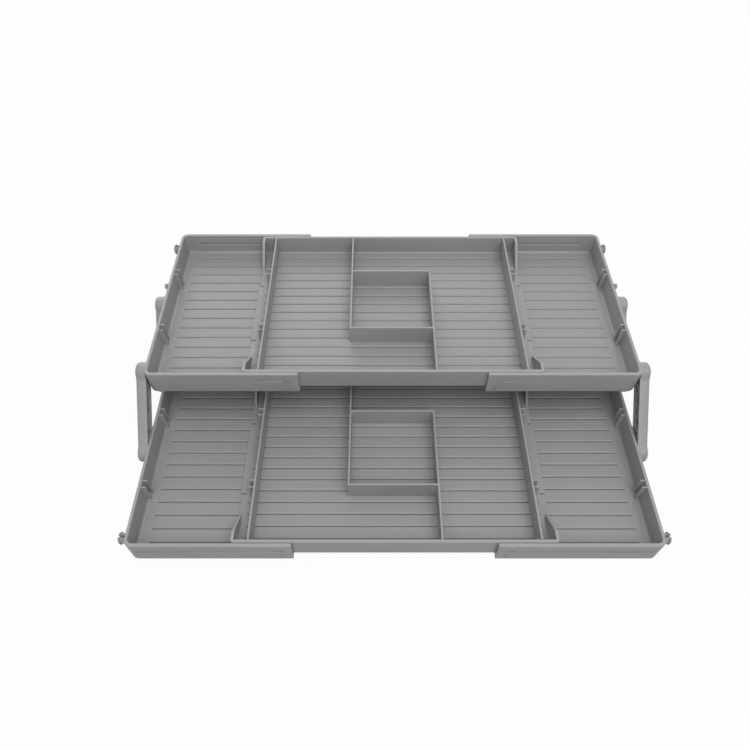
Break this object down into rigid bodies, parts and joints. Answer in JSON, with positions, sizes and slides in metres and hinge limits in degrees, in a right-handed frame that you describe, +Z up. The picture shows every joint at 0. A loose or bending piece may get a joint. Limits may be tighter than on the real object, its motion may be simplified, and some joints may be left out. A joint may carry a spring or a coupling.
{
  "type": "two-tier cantilever tray organiser",
  "caption": "Grey plastic two-tier tray organiser: wide open trays with sliding end trays, loose dividers and link arms that swing the upper tier up and back.",
  "frame": {"origin": "on the table, under the middle of the open organiser", "axes": "+X to the right along the trays, +Y from front to back, +Z up"},
  "size_m": [0.4176, 0.2994, 0.0697],
  "materials": {
    "tray_plastic": "satin, injection moulded",
    "divider_plastic": "satin, injection moulded",
    "arm_plastic": "satin, injection moulded"
  },
  "bodies": {
    "lower_centre": {"lower_centre_tray": "tray_plastic", "lower_left_divider": "divider_plastic", "lower_right_divider": "divider_plastic", "lower_square_insert": "divider_plastic"},
    "lower_left_end": {"lower_left_end_tray": "tray_plastic"},
    "lower_right_end": {"lower_right_end_tray": "tray_plastic"},
    "left_front_arm": {"left_front_arm": "arm_plastic"},
    "left_rear_arm": {"left_rear_arm": "arm_plastic"},
    "right_front_arm": {"right_front_arm": "arm_plastic"},
    "right_rear_arm": {"right_rear_arm": "arm_plastic"},
    "upper_left_end": {"upper_left_end_tray": "tray_plastic"},
    "upper_centre": {"upper_centre_tray": "tray_plastic", "upper_left_divider": "divider_plastic", "upper_right_divider": "divider_plastic", "upper_square_insert": "divider_plastic"},
    "upper_right_end": {"upper_right_end_tray": "tray_plastic"}
  },
  "joints": [
    {"name": "left_extend", "type": "slide", "parent": "lower_centre", "child": "lower_left_end", "axis": [-1, 0, 0], "range_m": [-0.065, 0.032]},
    {"name": "right_extend", "type": "slide", "parent": "lower_centre", "child": "lower_right_end", "axis": [1, 0, 0], "range_m": [-0.065, 0.032]},
    {"name": "fold", "type": "hinge", "parent": "lower_left_end", "child": "left_front_arm", "pos_m": [-0.2045, -0.06224, 0.0145], "axis": [1, 0, 0], "range_deg": [0, 117.16]},
    {"name": "left_rear_fold", "type": "hinge", "parent": "lower_left_end", "child": "left_rear_arm", "pos_m": [-0.2045, 0.01376, 0.0145], "axis": [1, 0, 0], "range_deg": [0, 117.16]},
    {"name": "right_front_fold", "type": "hinge", "parent": "lower_right_end", "child": "right_front_arm", "pos_m": [0.2045, -0.06224, 0.0145], "axis": [1, 0, 0], "range_deg": [0, 117.16]},
    {"name": "right_rear_fold", "type": "hinge", "parent": "lower_right_end", "child": "right_rear_arm", "pos_m": [0.2045, 0.01376, 0.0145], "axis": [1, 0, 0], "range_deg": [0, 117.16]},
    {"name": "upper_level", "type": "hinge", "parent": "left_front_arm", "child": "upper_left_end", "pos_m": [-0.2045, -0.01376, 0.06002], "axis": [1, 0, 0], "range_deg": [-117.16, 0]},
    {"name": "upper_left_extend", "type": "slide", "parent": "upper_left_end", "child": "upper_centre", "axis": [1, 0, 0], "range_m": [-0.065, 0.032]},
    {"name": "upper_right_extend", "type": "slide", "parent": "upper_centre", "child": "upper_right_end", "axis": [1, 0, 0], "range_m": [-0.065, 0.032]}
  ],
  "couplings": [
    {"joint": "left_rear_fold", "follows": "fold", "ratio": 1},
    {"joint": "right_front_fold", "follows": "fold", "ratio": 1},
    {"joint": "right_rear_fold", "follows": "fold", "ratio": 1},
    {"joint": "upper_level", "follows": "fold", "ratio": -1},
    {"joint": "upper_left_extend", "follows": "left_extend", "ratio": 1},
    {"joint": "upper_right_extend", "follows": "right_extend", "ratio": 1}
  ]
}
